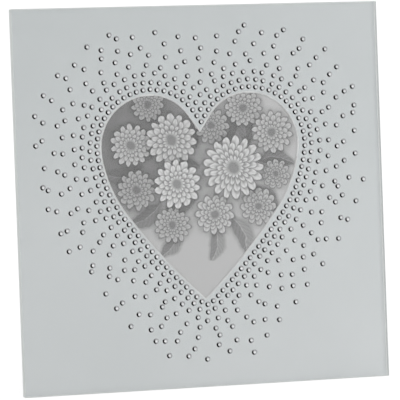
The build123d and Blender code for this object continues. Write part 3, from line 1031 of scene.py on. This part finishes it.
def turned_piece(name, mesh, axes, body, material, node):
    """A piece with smooth domes and crisp edges."""
    piece = add_piece(name, mesh, axes, body, [material], node)
    piece.data.shade_smooth()
    split = piece.modifiers.new("edges", "EDGE_SPLIT")
    split.split_angle = math.radians(CRISP_ANGLE)


def stud_piece(name, node, axes, body, material, recessed):
    """All studs of a node with domed heads, and with a cross recess if they are screws."""
    whole = bmesh.new()
    for number, island in enumerate(node_islands(node, axes)):
        low, high = low_and_high(island)
        middle = (low + high) / 2
        radius = (high.x - low.x) / 2
        reaches = [(math.hypot(corner.x - middle.x, corner.z - middle.z), corner.y) for corner in island]
        seat = min(depth for reach, depth in reaches if abs(reach - radius) < TOLERANCE)
        rod = max(reach for reach, depth in reaches if depth < low.y + TOLERANCE)
        mesh = domed_stud(rod, radius, low.y, seat, high.y)
        if recessed:
            mesh = carved(mesh, cross_cutter(radius, seat, high.y))
        join(whole, mesh, number * HEAD_TURN_RADIANS, "Y", (middle.x, 0, middle.z))
    turned_piece(name, whole, axes, body, material, node)


def pin_piece(material):
    """The hinge pin with domed heads, as two studs that meet in its middle."""
    island = node_islands("hinge_pin", PANEL)[0]
    low, high = low_and_high(island)
    middle = (low + high) / 2
    radius = (high.z - low.z) / 2
    offsets = [corner - middle for corner in island]
    reaches = [(math.hypot(offset.y, offset.z), abs(offset.x)) for offset in offsets]
    seat = min(depth for reach, depth in reaches if abs(reach - radius) < TOLERANCE)
    rod = max(reach for reach, depth in reaches if reach < radius - TOLERANCE)
    whole = bmesh.new()
    for turn in (-QUARTER_TURN, QUARTER_TURN):
        mesh = domed_stud(rod, radius, 0.0, seat, high.x - middle.x)
        join(whole, mesh, math.radians(turn), "Z", middle)
    turned_piece("domed_pin", whole, PANEL, "panel", material, "hinge_pin")


# Room


def studio_world():
    """White room, whose sides only gloss sees as grey, and as black low at the left."""
    world = bpy.data.worlds.new("studio")
    bpy.context.scene.world = world
    world.use_nodes = True
    tree = Tree(world.node_tree)
    direction = tree.add("TexCoord").outputs["Generated"]
    ahead = tree.math("ABSOLUTE", tree.dot(direction, (0.0, 1.0, 0.0)))
    aside = tree.fade(ahead, cosine(SIDE_FULL_ANGLE), cosine(SIDE_FROM_ANGLE))
    low_left = tree.dot(direction, Vector(BLACK_DIRECTION).normalized())
    black = tree.smooth(low_left, cosine(BLACK_FROM_ANGLE), cosine(BLACK_FULL_ANGLE))
    seen = tree.blend(aside, 1.0, tree.blend(black, SIDE_LEVEL, BLACK_LEVEL))
    level = tree.blend(tree.light_path("Is Glossy Ray"), ROOM_LEVEL, seen)
    level = tree.blend(tree.light_path("Is Camera Ray", "Is Transmission Ray"), level, 1.0)
    set_inputs(tree, tree.nodes["Background"], Color=(*WHITE, 1.0), Strength=level)


def lamps():
    """Large soft lamps that face the middle of the panel."""
    for name, place in LAMP_PLACES.items():
        light = bpy.data.lights.new(name, "AREA")
        light.shape = "DISK"
        light.size = LAMP_SIZES[name]
        light.energy = LAMP_POWERS[name]
        lamp = placed(name, light)
        lamp.location = place
        lamp.rotation_euler = (Vector(VIEW_TARGET) - lamp.location).to_track_quat("-Z", "Y").to_euler()
        lamp.visible_camera = False


def floor_material():
    """Pale matt floor that glows where it is seen, but lights nothing, so that it meets the white room."""
    material, tree, shader = new_material("pale_floor")
    speck = tree.noise(tree.object_place(), size=2 * MM, detail=2.0)
    tone = tree.blend(tree.light_path("Is Camera Ray"), FLOOR_BOUNCE_TONE, FLOOR_SEEN_TONE)
    speckled = tone * (1 - FLOOR_SPECK_SHARE / 2 + FLOOR_SPECK_SHARE * speck)
    direct = tree.light_path("Is Camera Ray", "Is Glossy Ray", "Is Transmission Ray")
    set_inputs(
        tree, shader,
        Base_Color=tree.tint(speckled, BLACK, WHITE),
        Roughness=0.9,
        Specular_IOR_Level=0.0,
        Emission_Color=(*WHITE, 1.0),
        Emission_Strength=direct * FLOOR_GLOW,
    )
    return material


def floor():
    """Level floor just under the object, hidden from gloss, which sees the room instead."""
    mesh = bmesh.new()
    bmesh.ops.create_grid(mesh, x_segments=1, y_segments=1, size=FLOOR_SIZE / 2)
    bmesh.ops.translate(mesh, vec=(0, 0, cad_box[0].z - FLOOR_GAP), verts=mesh.verts)
    ground = placed("floor", stored("floor", mesh))
    ground.data.materials.append(floor_material())
    ground.visible_glossy = False


def camera():
    """Camera on the photograph's line of sight, with its long lens and slight roll."""
    lens = bpy.data.cameras.new("camera")
    lens.sensor_width = SENSOR_WIDTH
    lens.lens = VIEW_FOCUS_PIXELS / PHOTO_PIXELS * SENSOR_WIDTH
    flat = cosine(VIEW_ELEVATION)
    back = Vector((sine(VIEW_AZIMUTH) * flat, -cosine(VIEW_AZIMUTH) * flat, sine(VIEW_ELEVATION)))
    aim = back.to_track_quat("Z", "Y") @ Matrix.Rotation(math.radians(VIEW_ROLL), 3, "Z").to_quaternion()
    eye = placed("camera", lens)
    eye.rotation_euler = aim.to_euler()
    eye.location = Vector(VIEW_TARGET) + VIEW_DISTANCE * back
    bpy.context.scene.camera = eye


# Assembly

bpy.context.scene.view_settings.view_transform = "Standard"
camera()
studio_world()
lamps()
floor()

steel = plated_steel("plated_steel", STEEL_COLOURS)
stud_steel = plated_steel("stud_steel", STUD_COLOURS)
board = flocked_board()
tape = foam_tape()
dressed = {
    "picture_print": picture_print(),
    "pressure_card": white_card(),
    "back_surround": board,
    "back_door": board,
    "strut_leg": board,
    "hinge_bracket": steel,
    "strut_shoe": steel,
}
for side in ("top", "bottom", "left", "right"):
    dressed["tape_" + side] = tape
for level in ("upper", "lower"):
    for side in ("left", "right"):
        dressed["turn_button_" + level + "_" + side] = steel
for name, material in dressed.items():
    for slot in frame["nodes"][name].material_slots:
        slot.material = material

glass_piece(clear_glass(), ground_glass())
# The film's lacquer carries painted light, and a painted shadow runs just inside its window.
film_piece([silver_lacquer(), line_lacquer(), painted_edge_shadow()])
stone_materials = [
    foiled_crystal("crystal_table", TABLE_COLOURS),
    foiled_crystal("crystal_crown", CROWN_COLOURS),
    foiled_crystal("crystal_sides", SIDES_COLOURS),
]
for name in sorted(node for node in frame["nodes"] if node.startswith("crystal_row_")):
    crystal_piece(name, stone_materials)
stud_piece("cross_screws", "turn_button_screws", PANEL, "panel", stud_steel, recessed=True)
stud_piece("bracket_rivets", "hinge_rivets", PANEL, "panel", stud_steel, recessed=False)
stud_piece("shoe_rivets", "strut_rivets", LEG, "strut", stud_steel, recessed=False)
pin_piece(stud_steel)
